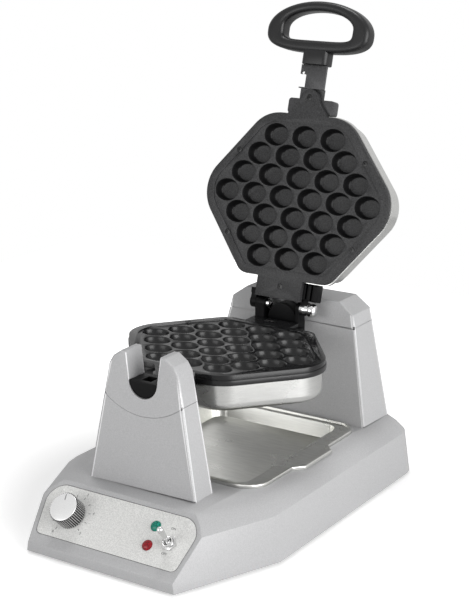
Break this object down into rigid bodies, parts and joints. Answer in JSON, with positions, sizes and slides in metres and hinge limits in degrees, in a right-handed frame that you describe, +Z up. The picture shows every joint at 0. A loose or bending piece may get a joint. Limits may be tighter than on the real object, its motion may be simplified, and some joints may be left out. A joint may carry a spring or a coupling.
{
  "type": "egg waffle maker",
  "caption": "Countertop egg waffle maker: a lidded round-egg grid that turns over between two towers, above a lift-out drip tray, with a dial, lamps and a toggle on a sloped front.",
  "frame": {"origin": "on the table, under the middle of the whole machine with its lid open", "axes": "+Z up, +X to the right of a user who stands at -Y and faces the control panel"},
  "size_m": [0.233, 0.3712, 0.4403],
  "materials": {
    "silver_paint": "satin silver paint",
    "plated_sheet": "plated sheet",
    "black_rubber": "moulded",
    "zinc_screws": "plated",
    "nonstick_plate": "non-stick coating",
    "black_enamel": "black enamel",
    "stainless": "brushed stainless",
    "ceramic_wool": "ceramic wool",
    "element_steel": "heat-tinted",
    "dark_casting": "black painted casting",
    "black_phenolic": "moulded phenolic",
    "polished_steel": "polished",
    "shaft_steel": "turned",
    "bronze": "sintered bronze",
    "bearing_aluminium": "cast",
    "panel_aluminium": "fine brushed",
    "green_lens": "clear coloured lens",
    "red_lens": "clear coloured lens",
    "black_plastic": "moulded",
    "white_plastic": "moulded"
  },
  "bodies": {
    "base_body": {"base_shell": "silver_paint", "bottom_cover": "plated_sheet", "rubber_feet": "black_rubber", "cover_screws": "zinc_screws", "front_tower": "silver_paint", "front_tower_cap": "silver_paint", "rear_tower": "silver_paint", "rear_tower_cap": "silver_paint", "rear_bearing": "bronze", "bearing_block": "bearing_aluminium", "tower_screws": "zinc_screws", "control_plate": "panel_aluminium", "panel_screws": "zinc_screws", "ready_lamp": "green_lens", "power_lamp": "red_lens", "lamp_holder": "black_plastic", "switch_body": "black_plastic", "switch_nut": "polished_steel", "thermostat": "shaft_steel", "cord_gland": "black_plastic", "terminal_block": "white_plastic"},
    "grid_body": {"lower_plate": "nonstick_plate", "lower_frame": "black_enamel", "lower_casing": "stainless", "lower_insulation": "ceramic_wool", "lower_element": "element_steel", "lower_journal": "dark_casting", "lower_plate_screws": "zinc_screws", "rear_hub": "dark_casting", "hinge_pins": "polished_steel", "turn_shaft": "shaft_steel", "shaft_collar": "shaft_steel"},
    "lid_body": {"upper_plate": "nonstick_plate", "upper_frame": "stainless", "upper_casing": "stainless", "upper_element": "element_steel", "upper_insulation": "ceramic_wool", "upper_plate_screws": "zinc_screws", "handle_arm": "dark_casting", "handle_grip": "black_phenolic", "handle_bolt": "zinc_screws", "lid_hinge": "dark_casting"},
    "tray_body": {"drip_tray": "stainless"},
    "dial_body": {"dial_knob": "black_plastic", "dial_face": "panel_aluminium", "dial_spindle": "shaft_steel"},
    "lever_body": {"switch_lever": "polished_steel"}
  },
  "joints": [
    {"name": "grid_turn", "type": "hinge", "parent": "base_body", "child": "grid_body", "pos_m": [0, 0, 0.1484], "axis": [0, 1, 0], "range_deg": [-16, 16]},
    {"name": "lid_hinge", "type": "hinge", "parent": "grid_body", "child": "lid_body", "pos_m": [0, 0.1065, 0.1597], "axis": [1, 0, 0], "range_deg": [0, 105.5]},
    {"name": "tray_lift", "type": "slide", "parent": "base_body", "child": "tray_body", "axis": [0, 0, 1], "range_m": [0, 0.03]},
    {"name": "dial_turn", "type": "hinge", "parent": "base_body", "child": "dial_body", "pos_m": [-0.0454, -0.163, 0.03374], "axis": [0, -0.7046, 0.7096], "range_deg": [-150, 130]},
    {"name": "switch_toggle", "type": "hinge", "parent": "base_body", "child": "lever_body", "pos_m": [0.057, -0.16589, 0.0351], "axis": [1, 0, 0], "range_deg": [-18, 0]}
  ]
}
